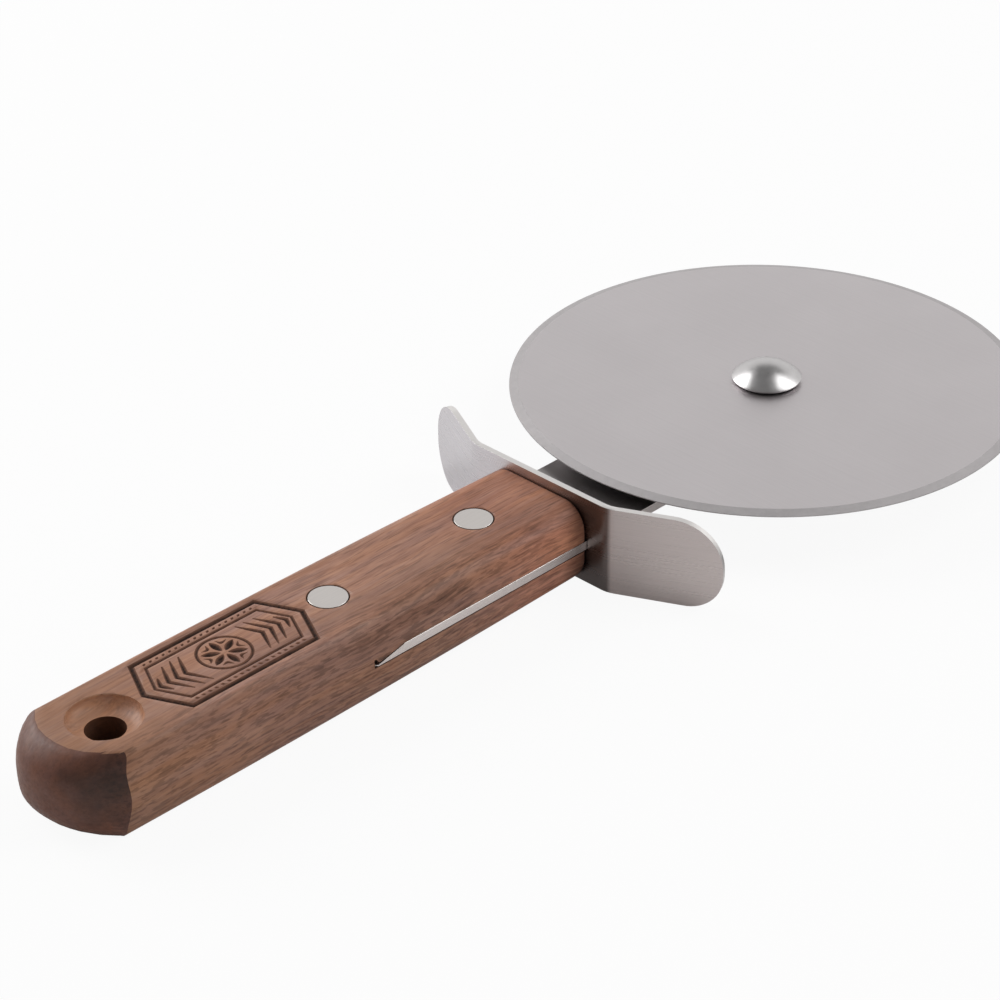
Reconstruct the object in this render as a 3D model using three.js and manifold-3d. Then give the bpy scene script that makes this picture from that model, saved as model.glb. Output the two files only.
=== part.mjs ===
import * as THREE from 'three';
import { mergeVertices } from 'three/addons/utils/BufferGeometryUtils.js';
import Module from 'manifold-3d';

// Rolling pizza cutter: a steel wheel on a riveted axle, a flat bar that carries it,
// a bent finger guard and a slotted wooden handle.
// Millimetres. The origin lies on the table, half way along the tool,
// +X runs towards the wheel and +Z is up.

// Driving dimensions of the wooden handle
const HANDLE_LENGTH = 114.9;
const HANDLE_WIDTH = 24;
const HANDLE_THICKNESS = 15.9;
const FRONT_CORNER_RADIUS = 5;
const REAR_CORNER_RADIUS = 1.4;
const CORNER_FADE = 1.7;
const SIDE_BARREL = 1.8;
const BUTT_SAG = 7.8;
const BUTT_SAG_POWER = 2.45;
const BUTT_OFFSET = 1.1;
const BUTT_CROWN = 4.6;
const BUTT_CROWN_POWER = 3;
const BUTT_CROWN_FADE = 0.55;
const HANG_HOLE_TO_END = 14.5;
const HANG_HOLE_BORE = 7;
const COUNTERSINK_DIAMETER = 13.1;
const COUNTERSINK_DEPTH = 2.4;

// Driving dimensions of the bar that runs from the axle into the handle
const BAR_THICKNESS = 1.8;
const BAR_PAST_RIVET = 5.8;
const BAR_LEAD_LENGTH = 6.4;
const BAR_LEAD_WIDTH = 3;
const BAR_LEAD_EDGE = 0.35;
const SLOT_CLEARANCE = 0.1;
const SLOT_END_GAP = 0.9;
const SLOT_END_SAG = 6;

// Driving dimensions of the two-part handle rivets
const FRONT_RIVET_SETBACK = 16.6;
const RIVET_SPACING = 35;
const RIVET_HEAD_DIAMETER = 7;
const RIVET_HEAD_THICKNESS = 1.6;
const RIVET_TUBE_DIAMETER = 4.6;
const RIVET_PIN_DIAMETER = 3.2;
const RIVET_END_GAP = 0.8;
const RIVET_FIT = 0.1;

// Driving dimensions of the finger guard
const GUARD_THICKNESS = 1.2;
const GUARD_HEIGHT = 17.6;
const GUARD_FLAT_WIDTH = 30.6;
const GUARD_BEND_RADIUS = 6;
const GUARD_WING_LENGTH = 20;
const GUARD_WING_ANGLE = 26.2;
const GUARD_TOP_RADIUS = 9.3;
const GUARD_FOOT_RADIUS = 7;
const GUARD_SLOT_CLEARANCE = 0.15;

// Driving dimensions of the wheel and its axle
const WHEEL_DIAMETER = 100;
const WHEEL_THICKNESS = 1.2;
const WHEEL_BEVEL = 1.8;
const WHEEL_EDGE = 0.2;
const WHEEL_TO_GUARD = 12.25;
const AXLE_DIAMETER = 6;
const AXLE_RUNNING_FIT = 0.08;
const AXLE_END_PLAY = 0.08;
const AXLE_HEAD_DIAMETER = 13.6;
const AXLE_HEAD_RIM = 0.5;
const AXLE_HEAD_DOME = 3.2;
const TENON_DIAMETER = 4.6;
const TENON_FIT = 0.1;
const TAIL_DIAMETER = 6.8;
const TAIL_DOME = 1.1;
const SPACER_DIAMETER = 13;
const SPACER_THICKNESS = 1.75;
const BURR_DIAMETER = 9.5;
const BURR_THICKNESS = 0.8;
const SEAT_GAP = 0.05;

// Facets
const WHEEL_FACETS = 128;
const ROUND_FACETS = 40;
const ARC_STEPS = 8;
const CORNER_STEPS = 5;
const ACROSS_STEPS = 12;
const SIDE_STEPS = 4;
const BODY_RINGS = 8;
const BUTT_RINGS = 4;

// Overshoot of a cutting tool past the faces it cuts, and the most of a face that its rounds take
const CUT_MARGIN = 2;
const ROUND_LIMIT = 0.95;

// Heights of the stack, from the table up
const barBottom = (HANDLE_THICKNESS - BAR_THICKNESS) / 2;
const barTop = barBottom + BAR_THICKNESS;
const spacerBottom = barTop + SEAT_GAP;
const wheelBottom = spacerBottom + SPACER_THICKNESS + AXLE_END_PLAY;
const wheelTop = wheelBottom + WHEEL_THICKNESS;
const headBottom = wheelTop + AXLE_END_PLAY;
const burrBottom = barBottom - SEAT_GAP - BURR_THICKNESS;
const tailTop = burrBottom - SEAT_GAP;

// Places along the length, with the whole tool centred on the origin
const pastHandle = SEAT_GAP + GUARD_THICKNESS + WHEEL_TO_GUARD + WHEEL_DIAMETER;
const handleFront = (HANDLE_LENGTH - pastHandle) / 2;
const handleEnd = handleFront - HANDLE_LENGTH;
const guardBack = handleFront + SEAT_GAP;
const guardFront = guardBack + GUARD_THICKNESS;
const axleX = guardFront + WHEEL_TO_GUARD + WHEEL_DIAMETER / 2;
const frontRivetX = handleFront - FRONT_RIVET_SETBACK;
const rearRivetX = frontRivetX - RIVET_SPACING;
const barTip = rearRivetX - BAR_PAST_RIVET;
const slotTip = barTip - SLOT_END_GAP;
const hangHoleX = handleEnd + HANG_HOLE_TO_END;

// Finishes
const walnut = { color: 0x7d5744, roughness: 0.62, metalness: 0 };
const satinSteel = { color: 0xb7b3b1, roughness: 0.38, metalness: 1 };
const polishedSteel = { color: 0xc6c4c2, roughness: 0.16, metalness: 1 };

const wasm = await Module();
wasm.setup();

// Positions only, with shared corners merged and collapsed triangles left out.
function welded(geometry) {
  const bare = geometry.clone();
  bare.deleteAttribute('normal');
  bare.deleteAttribute('uv');
  const merged = mergeVertices(bare);
  const index = merged.index.array;
  const kept = [];
  for (let i = 0; i < index.length; i += 3) {
    const [a, b, c] = [index[i], index[i + 1], index[i + 2]];
    if (a !== b && b !== c && c !== a) kept.push(a, b, c);
  }
  merged.setIndex(kept);
  return merged;
}

function toSolid(geometry) {
  const closed = welded(geometry);
  return new wasm.Manifold(new wasm.Mesh({
    numProp: 3,
    vertProperties: new Float32Array(closed.attributes.position.array),
    triVerts: new Uint32Array(closed.index.array),
  }));
}

function toGeometry(solid) {
  const mesh = solid.getMesh();
  const geometry = new THREE.BufferGeometry();
  geometry.setAttribute('position', new THREE.BufferAttribute(mesh.vertProperties, mesh.numProp));
  geometry.setIndex(new THREE.BufferAttribute(mesh.triVerts, 1));
  geometry.computeVertexNormals();
  return geometry;
}

function cut(body, ...tools) {
  return tools.reduce((rest, tool) => rest.subtract(toSolid(tool)), toSolid(body));
}

// A turned piece about +Z at a given place; the profile is a list of [radius, height].
function turned(profile, x, facets = ROUND_FACETS) {
  const points = profile.map(([radius, height]) => new THREE.Vector2(radius, height));
  const geometry = new THREE.LatheGeometry(points, facets);
  geometry.rotateX(Math.PI / 2);
  geometry.translate(x, 0, 0);
  return geometry;
}

// A flat piece: an outline in the XY plane between two heights.
function plate(shape, bottom, top) {
  const geometry = new THREE.ExtrudeGeometry(shape, {
    depth: top - bottom,
    bevelEnabled: false,
    curveSegments: 2 * ARC_STEPS,
  });
  geometry.translate(0, 0, bottom);
  return geometry;
}

function bore(diameter, bottom, top, x) {
  const radius = diameter / 2;
  return turned([[0, bottom], [radius, bottom], [radius, top], [0, top]], x);
}

function ring(outer, inner, bottom, top, x) {
  const profile = [[inner / 2, bottom], [outer / 2, bottom], [outer / 2, top], [inner / 2, top]];
  return turned([...profile, profile[0]], x);
}

// Radius of the arc over a chord, from half the chord and the arc's depth.
function arcRadius(halfChord, sag) {
  return (halfChord ** 2 + sag ** 2) / (2 * sag);
}

// Points of a shallow dome from its rim to its top, as [radius, height].
function domeProfile(rimRadius, rise, base, up) {
  const radius = arcRadius(rimRadius, rise);
  const sweep = Math.asin(Math.min(1, rimRadius / radius));
  const points = [];
  for (let i = 0; i <= ARC_STEPS; i += 1) {
    const angle = sweep * (1 - i / ARC_STEPS);
    const height = rise - radius * (1 - Math.cos(angle));
    points.push([radius * Math.sin(angle), base + up * height]);
  }
  points[ARC_STEPS][0] = 0;
  return points;
}

// Outline of the handle's cross-section as [y, z] about its middle, with rounded corners.
// The barrel draws the top and bottom of both sides in.
function handleSection(cornerRadius, barrel) {
  const halfWidth = HANDLE_WIDTH / 2;
  const halfHeight = HANDLE_THICKNESS / 2;
  const radius = Math.min(cornerRadius, ROUND_LIMIT * halfHeight, ROUND_LIMIT * halfWidth);
  const inY = halfWidth - radius;
  const inZ = halfHeight - radius;
  const corners = [[inY, inZ], [-inY, inZ], [-inY, -inZ], [inY, -inZ]];
  const points = [];
  corners.forEach(([y, z], quarter) => {
    const start = quarter * Math.PI / 2;
    for (let i = 0; i <= CORNER_STEPS; i += 1) {
      const angle = start + (i / CORNER_STEPS) * Math.PI / 2;
      points.push([y + radius * Math.cos(angle), z + radius * Math.sin(angle)]);
    }
    const [nextY, nextZ] = corners[(quarter + 1) % 4];
    const end = start + Math.PI / 2;
    const offset = [radius * Math.cos(end), radius * Math.sin(end)];
    const steps = quarter % 2 === 0 ? ACROSS_STEPS : SIDE_STEPS;
    for (let i = 1; i < steps; i += 1) {
      const t = i / steps;
      points.push([y + (nextY - y) * t + offset[0], z + (nextZ - z) * t + offset[1]]);
    }
  });
  return points.map(([y, z]) => {
    const drawnIn = barrel * (y / halfWidth) ** 4 * (z / halfHeight) ** 2;
    return [y - Math.sign(y) * drawnIn, z];
  });
}

// The domed butt: round in plan about a line beside the middle, and crowned from top to bottom,
// with the lower half of the crown fading towards its sides.
function buttX(y, z) {
  const halfWidth = HANDLE_WIDTH / 2;
  const plan = BUTT_SAG * (Math.abs(y - BUTT_OFFSET) / halfWidth) ** BUTT_SAG_POWER;
  const height = Math.abs(z) / (HANDLE_THICKNESS / 2);
  const fade = z > 0 ? 1 : 1 - BUTT_CROWN_FADE * (y / halfWidth) ** 2;
  return handleEnd + plan + BUTT_CROWN * height ** BUTT_CROWN_POWER * fade;
}

// A closed skin through rings of equal count, capped by a point at each end.
function loft(rings, firstPoint, lastPoint) {
  const count = rings[0].length;
  const positions = [];
  rings.forEach((points) => points.forEach((point) => positions.push(...point)));
  positions.push(...firstPoint, ...lastPoint);
  const first = rings.length * count;
  const last = first + 1;
  const index = [];
  for (let j = 0; j < count; j += 1) {
    const k = (j + 1) % count;
    index.push(first, j, k);
    for (let i = 0; i + 1 < rings.length; i += 1) {
      const [near, far] = [i * count, (i + 1) * count];
      index.push(near + j, far + j, near + k, near + k, far + j, far + k);
    }
    const tail = (rings.length - 1) * count;
    index.push(last, tail + k, tail + j);
  }
  const geometry = new THREE.BufferGeometry();
  geometry.setAttribute('position', new THREE.Float32BufferAttribute(positions, 3));
  geometry.setIndex(index);
  return geometry;
}

// Handle blank: its long edges are well rounded at the guard, and towards the butt they turn
// crisper while its sides turn barrelled.
function handleBlank() {
  const middle = HANDLE_THICKNESS / 2;
  const rings = [];
  for (let i = 0; i <= BODY_RINGS; i += 1) {
    const t = i / BODY_RINGS;
    const spread = (FRONT_CORNER_RADIUS - REAR_CORNER_RADIUS) * (1 - t) ** CORNER_FADE;
    const section = handleSection(REAR_CORNER_RADIUS + spread, t * SIDE_BARREL);
    rings.push(section.map(([y, z]) => [
      handleFront + t * (buttX(y, z) - handleFront), y, middle + z,
    ]));
  }
  const rim = handleSection(REAR_CORNER_RADIUS, SIDE_BARREL);
  for (let i = 1; i < BUTT_RINGS; i += 1) {
    const scale = 1 - i / BUTT_RINGS;
    rings.push(rim.map(([rimY, rimZ]) => {
      const y = BUTT_OFFSET + scale * (rimY - BUTT_OFFSET);
      const z = scale * rimZ;
      return [buttX(y, z), y, middle + z];
    }));
  }
  return loft(rings, [handleFront, 0, middle], [handleEnd, BUTT_OFFSET, middle]);
}

// The arc, across the handle's width, that ends the saw slot and the bar inside it.
function endArc(shape, tip) {
  const half = HANDLE_WIDTH / 2;
  const radius = arcRadius(half, SLOT_END_SAG);
  const sweep = Math.asin(half / radius);
  shape.absarc(tip + radius, 0, radius, Math.PI - sweep, Math.PI + sweep, false);
}

// Saw slot for the bar: open at the front and both sides, with a round-bottomed end.
function barSlot() {
  const half = HANDLE_WIDTH / 2;
  const shape = new THREE.Shape();
  shape.moveTo(handleFront + CUT_MARGIN, -half - CUT_MARGIN);
  shape.lineTo(handleFront + CUT_MARGIN, half + CUT_MARGIN);
  shape.lineTo(slotTip + SLOT_END_SAG, half + CUT_MARGIN);
  endArc(shape, slotTip);
  shape.lineTo(slotTip + SLOT_END_SAG, -half - CUT_MARGIN);
  return plate(shape, barBottom - SLOT_CLEARANCE, barTop + SLOT_CLEARANCE);
}

// Hanging hole: a bore with a bowl-shaped countersink in each face.
function hangHole() {
  const boreRadius = HANG_HOLE_BORE / 2;
  const flare = COUNTERSINK_DIAMETER / 2 - boreRadius;
  const bowl = [];
  for (let i = 0; i <= CORNER_STEPS; i += 1) {
    const angle = (i / CORNER_STEPS) * Math.PI / 2;
    const radius = boreRadius + flare * Math.sin(angle);
    bowl.push([radius, COUNTERSINK_DEPTH * (1 - Math.cos(angle))]);
  }
  const mouth = COUNTERSINK_DIAMETER / 2;
  const upper = bowl.map(([r, h]) => [r, HANDLE_THICKNESS - COUNTERSINK_DEPTH + h]);
  const lower = bowl.map(([r, h]) => [r, COUNTERSINK_DEPTH - h]).reverse();
  const bottom = -CUT_MARGIN;
  const top = HANDLE_THICKNESS + CUT_MARGIN;
  return turned([[0, bottom], [mouth, bottom], ...lower, ...upper, [mouth, top], [0, top]], hangHoleX);
}

// Stepped rivet hole: a through bore with a seat for a head in each face.
function rivetHole(x) {
  const tube = RIVET_TUBE_DIAMETER / 2 + RIVET_FIT;
  const head = RIVET_HEAD_DIAMETER / 2 + RIVET_FIT;
  const lowSeat = RIVET_HEAD_THICKNESS + SEAT_GAP;
  const highSeat = HANDLE_THICKNESS - lowSeat;
  const bottom = -CUT_MARGIN;
  const top = HANDLE_THICKNESS + CUT_MARGIN;
  return turned([
    [0, bottom], [head, bottom], [head, lowSeat], [tube, lowSeat],
    [tube, highSeat], [head, highSeat], [head, top], [0, top],
  ], x);
}

function handleBlock() {
  const holes = [frontRivetX, rearRivetX].map(rivetHole);
  return toGeometry(cut(handleBlank(), barSlot(), hangHole(), ...holes));
}

// Filed lead-in along one top edge of the bar's tail, as the wedge that is cut away.
function leadIn(side) {
  const outer = HANDLE_WIDTH / 2 + CUT_MARGIN;
  const depth = BAR_LEAD_WIDTH + CUT_MARGIN;
  const low = barBottom + BAR_LEAD_EDGE;
  const high = barTop + CUT_MARGIN;
  const rampEnd = barTip + SLOT_END_SAG;
  const shape = new THREE.Shape();
  shape.moveTo(rampEnd + BAR_LEAD_LENGTH, barTop);
  shape.lineTo(rampEnd + BAR_LEAD_LENGTH, high);
  shape.lineTo(barTip - CUT_MARGIN, high);
  shape.lineTo(barTip - CUT_MARGIN, low);
  shape.lineTo(rampEnd, low);
  const wedge = new THREE.ExtrudeGeometry(shape, { depth, bevelEnabled: false });
  wedge.rotateX(Math.PI / 2);
  wedge.translate(0, side > 0 ? outer : depth - outer, 0);
  return wedge;
}

// Flat bar: full round at the axle, and following the slot's round end inside the handle.
function carrierBar() {
  const half = HANDLE_WIDTH / 2;
  const shape = new THREE.Shape();
  shape.absarc(axleX, 0, half, -Math.PI / 2, Math.PI / 2, false);
  endArc(shape, barTip);
  const low = barBottom - CUT_MARGIN;
  const high = barTop + CUT_MARGIN;
  const rivetBores = [frontRivetX, rearRivetX].map(
    (x) => bore(RIVET_TUBE_DIAMETER + 2 * RIVET_FIT, low, high, x),
  );
  const tenonBore = bore(TENON_DIAMETER + 2 * TENON_FIT, low, high, axleX);
  const leadIns = [1, -1].map(leadIn);
  return toGeometry(cut(plate(shape, barBottom, barTop), tenonBore, ...rivetBores, ...leadIns));
}

// Finger guard: a strip bent forward on each side, with round ends and a slot for the bar.
function fingerGuard() {
  const angle = THREE.MathUtils.degToRad(GUARD_WING_ANGLE);
  const flat = GUARD_FLAT_WIDTH / 2;
  const centreX = guardBack + GUARD_THICKNESS / 2 + GUARD_BEND_RADIUS;
  const faceRadius = (side) => GUARD_BEND_RADIUS + side * GUARD_THICKNESS / 2;
  const wingEnd = (side) => {
    const radius = faceRadius(side);
    return [
      centreX - radius * Math.cos(angle) + GUARD_WING_LENGTH * Math.sin(angle),
      flat + radius * Math.sin(angle) + GUARD_WING_LENGTH * Math.cos(angle),
    ];
  };
  const [backEndX, backEndY] = wingEnd(1);
  const [frontEndX, frontEndY] = wingEnd(-1);
  const strip = new THREE.Shape();
  strip.moveTo(backEndX, -backEndY);
  strip.lineTo(frontEndX, -frontEndY);
  strip.absarc(centreX, -flat, faceRadius(-1), Math.PI + angle, Math.PI, true);
  strip.absarc(centreX, flat, faceRadius(-1), Math.PI, Math.PI - angle, true);
  strip.lineTo(frontEndX, frontEndY);
  strip.lineTo(backEndX, backEndY);
  strip.absarc(centreX, flat, faceRadius(1), Math.PI - angle, Math.PI, false);
  strip.absarc(centreX, -flat, faceRadius(1), Math.PI, Math.PI + angle, false);

  const halfSpan = (backEndY + frontEndY) / 2;
  const roundShare = ROUND_LIMIT * GUARD_HEIGHT / (GUARD_TOP_RADIUS + GUARD_FOOT_RADIUS);
  const topZ = GUARD_TOP_RADIUS * Math.min(1, roundShare);
  const footZ = GUARD_FOOT_RADIUS * Math.min(1, roundShare);
  const topY = topZ * Math.cos(angle);
  const footY = footZ * Math.cos(angle);
  const high = GUARD_HEIGHT - topZ;
  const face = new THREE.Shape();
  face.absellipse(-halfSpan + footY, footZ, footY, footZ, Math.PI, 3 * Math.PI / 2, false);
  face.absellipse(halfSpan - footY, footZ, footY, footZ, 3 * Math.PI / 2, 2 * Math.PI, false);
  face.absellipse(halfSpan - topY, high, topY, topZ, 0, Math.PI / 2, false);
  face.absellipse(-halfSpan + topY, high, topY, topZ, Math.PI / 2, Math.PI, false);
  const faceTool = new THREE.ExtrudeGeometry(face, {
    depth: frontEndX - guardBack + 2 * CUT_MARGIN,
    bevelEnabled: false,
    curveSegments: ARC_STEPS,
  });
  faceTool.rotateY(Math.PI / 2);
  faceTool.rotateX(Math.PI / 2);
  faceTool.translate(guardBack - CUT_MARGIN, 0, 0);

  const slot = new THREE.BoxGeometry(
    GUARD_THICKNESS + 2 * CUT_MARGIN,
    HANDLE_WIDTH + 2 * GUARD_SLOT_CLEARANCE,
    BAR_THICKNESS + 2 * GUARD_SLOT_CLEARANCE,
  );
  slot.translate((guardBack + guardFront) / 2, 0, HANDLE_THICKNESS / 2);
  const wings = toSolid(plate(strip, 0, GUARD_HEIGHT)).intersect(toSolid(faceTool));
  return toGeometry(wings.subtract(toSolid(slot)));
}

// Upper half of a handle rivet: a head with a blind tube.
function rivetSocket(x) {
  const head = RIVET_HEAD_DIAMETER / 2;
  const tube = RIVET_TUBE_DIAMETER / 2;
  const hollow = RIVET_PIN_DIAMETER / 2 + RIVET_FIT;
  const top = HANDLE_THICKNESS;
  const seat = top - RIVET_HEAD_THICKNESS;
  const tubeEnd = RIVET_HEAD_THICKNESS + RIVET_END_GAP;
  return turned([
    [0, seat], [hollow, seat], [hollow, tubeEnd], [tube, tubeEnd],
    [tube, seat], [head, seat], [head, top], [0, top],
  ], x);
}

// Lower half of a handle rivet: a head with the pin that is driven into the tube.
function rivetPin(x) {
  const head = RIVET_HEAD_DIAMETER / 2;
  const pin = RIVET_PIN_DIAMETER / 2;
  const seat = RIVET_HEAD_THICKNESS;
  const pinEnd = HANDLE_THICKNESS - RIVET_HEAD_THICKNESS - RIVET_END_GAP;
  return turned([[0, 0], [head, 0], [head, seat], [pin, seat], [pin, pinEnd], [0, pinEnd]], x);
}

// Cutting wheel: a flat disc ground to an edge from both faces.
function cuttingWheel() {
  const rim = WHEEL_DIAMETER / 2;
  const shoulder = rim - WHEEL_BEVEL;
  const hole = AXLE_DIAMETER / 2 + AXLE_RUNNING_FIT;
  const middle = (wheelBottom + wheelTop) / 2;
  const start = [hole, wheelBottom];
  return turned([
    start, [shoulder, wheelBottom], [rim, middle - WHEEL_EDGE / 2],
    [rim, middle + WHEEL_EDGE / 2], [shoulder, wheelTop], [hole, wheelTop], start,
  ], axleX, WHEEL_FACETS);
}

// Axle rivet: domed head, journal for the wheel, and a tenon peened over under the bar.
function axleRivet() {
  const journal = AXLE_DIAMETER / 2;
  const tenon = TENON_DIAMETER / 2;
  const head = AXLE_HEAD_DIAMETER / 2;
  const tail = TAIL_DIAMETER / 2;
  const shoulder = barTop + SEAT_GAP;
  const tailDome = domeProfile(tail, TAIL_DOME, tailTop, -1).reverse();
  const headDome = domeProfile(head, AXLE_HEAD_DOME, headBottom + AXLE_HEAD_RIM, 1);
  return turned([
    ...tailDome, [tenon, tailTop], [tenon, shoulder], [journal, shoulder],
    [journal, headBottom], [head, headBottom], ...headDome,
  ], axleX);
}

function spacerWasher() {
  const inner = AXLE_DIAMETER + 2 * AXLE_RUNNING_FIT;
  return ring(SPACER_DIAMETER, inner, spacerBottom, spacerBottom + SPACER_THICKNESS, axleX);
}

function burrWasher() {
  const inner = TENON_DIAMETER + 2 * TENON_FIT;
  return ring(BURR_DIAMETER, inner, burrBottom, burrBottom + BURR_THICKNESS, axleX);
}

const cutter = new THREE.Group();

function addPiece(group, name, geometry, finish) {
  const piece = new THREE.Mesh(geometry, new THREE.MeshStandardMaterial(finish));
  piece.name = name;
  group.add(piece);
}

const grip = new THREE.Group();
addPiece(grip, 'handle_block', handleBlock(), walnut);
addPiece(grip, 'carrier_bar', carrierBar(), satinSteel);
addPiece(grip, 'finger_guard', fingerGuard(), satinSteel);
addPiece(grip, 'front_rivet_socket', rivetSocket(frontRivetX), satinSteel);
addPiece(grip, 'front_rivet_pin', rivetPin(frontRivetX), satinSteel);
addPiece(grip, 'rear_rivet_socket', rivetSocket(rearRivetX), satinSteel);
addPiece(grip, 'rear_rivet_pin', rivetPin(rearRivetX), satinSteel);

const axle = new THREE.Group();
addPiece(axle, 'axle_rivet', axleRivet(), polishedSteel);
addPiece(axle, 'spacer_washer', spacerWasher(), satinSteel);
addPiece(axle, 'burr_washer', burrWasher(), satinSteel);

const wheel = new THREE.Group();
addPiece(wheel, 'cutting_wheel', cuttingWheel(), satinSteel);

cutter.add(grip, axle, wheel);

export default cutter;
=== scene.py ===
import math

import bmesh
import bpy
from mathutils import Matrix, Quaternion, Vector


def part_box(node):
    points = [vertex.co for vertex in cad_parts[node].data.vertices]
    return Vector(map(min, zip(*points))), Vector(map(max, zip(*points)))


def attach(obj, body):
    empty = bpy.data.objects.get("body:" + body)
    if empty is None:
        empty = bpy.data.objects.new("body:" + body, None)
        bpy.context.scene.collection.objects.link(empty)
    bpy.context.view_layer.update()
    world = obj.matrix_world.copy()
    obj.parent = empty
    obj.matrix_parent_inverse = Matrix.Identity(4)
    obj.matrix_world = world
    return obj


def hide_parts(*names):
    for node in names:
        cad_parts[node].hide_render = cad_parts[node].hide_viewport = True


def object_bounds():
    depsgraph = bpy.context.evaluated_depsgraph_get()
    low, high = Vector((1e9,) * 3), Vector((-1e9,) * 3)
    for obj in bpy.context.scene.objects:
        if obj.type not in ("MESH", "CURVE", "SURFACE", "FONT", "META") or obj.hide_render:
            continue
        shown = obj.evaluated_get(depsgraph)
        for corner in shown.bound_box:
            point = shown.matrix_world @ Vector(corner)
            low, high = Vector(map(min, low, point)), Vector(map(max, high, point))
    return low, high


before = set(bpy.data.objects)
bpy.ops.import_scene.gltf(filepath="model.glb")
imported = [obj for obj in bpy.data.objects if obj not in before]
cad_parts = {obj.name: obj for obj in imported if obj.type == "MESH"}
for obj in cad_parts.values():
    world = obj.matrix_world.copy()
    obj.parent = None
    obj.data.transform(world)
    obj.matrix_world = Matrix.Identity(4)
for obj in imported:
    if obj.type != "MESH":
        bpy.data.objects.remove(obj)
cad_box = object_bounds()

# Viewpoint: a long lens behind the butt end looks down along the handle, rolled by a hair.
# It is aimed at the middle of the tool, and the wheel runs out of the picture on the right.
CAMERA_PLACE = Vector((-0.336052, -0.329641, 0.299134))
CAMERA_AIM = Vector((-0.003507, 0.005740, 0.011930))
CAMERA_ROLL = math.radians(-0.885)
LENS_LENGTH = 109.39
SENSOR_WIDTH = 36.0
NEAREST_SHOWN = 0.01

viewpoint = bpy.data.objects.new("viewpoint", bpy.data.cameras.new("viewpoint"))
viewpoint.data.sensor_width = SENSOR_WIDTH
viewpoint.data.lens = LENS_LENGTH
viewpoint.data.clip_start = NEAREST_SHOWN
viewpoint.location = CAMERA_PLACE
gaze = (CAMERA_AIM - CAMERA_PLACE).to_track_quat("-Z", "Y")
viewpoint.rotation_euler = (gaze @ Quaternion((0.0, 0.0, 1.0), CAMERA_ROLL)).to_euler()
bpy.context.scene.collection.objects.link(viewpoint)
bpy.context.scene.camera = viewpoint

# Carrier bar: one flat bar of stainless steel, cut from strip and tumbled, round at both ends.
# It runs from under the wheel, through the guard, into the saw slot of the handle, with a
# lead-in filed along its tail and its edges sanded flush with the wood.
BAR_STEEL = (0.38, 0.36, 0.355)
BAR_ROUGHNESS = 0.34
# Sanded edges: steel whose colour is raised well past the bar's, partly as a painted reflection of the
# floor.
SANDED_STEEL_AND_REFLECTION = (0.97, 0.90, 0.87)
SANDED_ROUGHNESS = 0.30
BAR_LINES = (60.0, 9000.0, 9000.0)
LINE_TONES = (0.96, 1.04)
LINE_DEPTH = 0.00004
STEEL_CLOUDS = 55.0
CLOUD_TONES = (0.98, 1.02)
NOISE_CORE = (0.3, 0.7)
NOISE_WIDE = (0.25, 0.75)
BAR_EDGE_ROUND = 0.00016
BAR_EDGE_TILT = 0.5
BAR_LEAD_LENGTH = 0.0064
BAR_LEAD_WIDTH = 0.003
BAR_LEAD_EDGE = 0.00035
BAR_END_SAG = 0.006
BAR_NOSE_STEPS = 40
BAR_TAIL_STEPS = 24
BAR_HOLE = 0.0024
BAR_HOLE_STEPS = 32
CUT_PAST = 0.001


def set_inputs(finish, node, inputs):
    """Links each input that is given as a socket, and sets any other."""
    for name, value in inputs.items():
        if isinstance(value, bpy.types.NodeSocket):
            finish.node_tree.links.new(value, node.inputs[name])
        else:
            node.inputs[name].default_value = value


def add_node(finish, kind, inputs, **settings):
    """Adds a node to a finish, with its settings and inputs."""
    node = finish.node_tree.nodes.new("ShaderNode" + kind)
    for name, value in settings.items():
        setattr(node, name, value)
    set_inputs(finish, node, inputs)
    return node


def calc(finish, operation, *inputs):
    """One step of arithmetic on numbers."""
    return add_node(finish, "Math", dict(enumerate(inputs)), operation=operation).outputs[0]


def scaled(finish, colour, amount):
    """A colour times a number."""
    return add_node(finish, "VectorMath", {0: colour, "Scale": amount}, operation="SCALE").outputs[0]


def mapped(finish, value, reach, levels=(0.0, 1.0), **settings):
    """A number that goes from one level to the other while a value crosses a reach."""
    inputs = dict(enumerate((value, *reach, *levels)))
    return add_node(finish, "MapRange", inputs, **settings).outputs[0]


def noise(finish, place, scale, detail):
    """Noise from 0 to 1 with so many changes to a unit of a place."""
    return add_node(finish, "TexNoise", {"Vector": place, "Scale": scale, "Detail": detail}).outputs["Fac"]


def grain(finish, place, lines, detail):
    """Noise drawn out into lines, with so many changes to a metre along each axis."""
    drawn = add_node(finish, "Mapping", {"Vector": place, "Scale": lines}).outputs[0]
    return noise(finish, drawn, scale=1.0, detail=detail)


def start_finish(name):
    """A new finish, its shader, and the piece's own coordinates in metres."""
    finish = bpy.data.materials.new(name)
    finish.use_nodes = True
    shader = finish.node_tree.nodes["Principled BSDF"]
    place = add_node(finish, "TexCoord", {}).outputs["Object"]
    return finish, shader, place


def rubbed_steel(name, colour, roughness, lines, spread=0.07, relief=0.06):
    """Steel with fine rubbed lines; lines says how many cross a metre along each axis."""
    finish, shader, place = start_finish(name)
    rub = grain(finish, place, lines, detail=3.0)
    cloud = noise(finish, place, STEEL_CLOUDS, detail=4.0)
    tone = mapped(finish, cloud, NOISE_CORE, CLOUD_TONES)
    streak = mapped(finish, rub, NOISE_CORE, LINE_TONES)
    tint = scaled(finish, colour, calc(finish, "MULTIPLY", tone, streak))
    worn = mapped(finish, rub, NOISE_WIDE, (roughness - spread, roughness + spread))
    groove_inputs = {"Height": rub, "Strength": relief, "Distance": LINE_DEPTH}
    groove = add_node(finish, "Bump", groove_inputs).outputs[0]
    looks = {"Base Color": tint, "Roughness": worn, "Normal": groove, "Metallic": 1.0}
    set_inputs(finish, shader, looks)
    return finish


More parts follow.
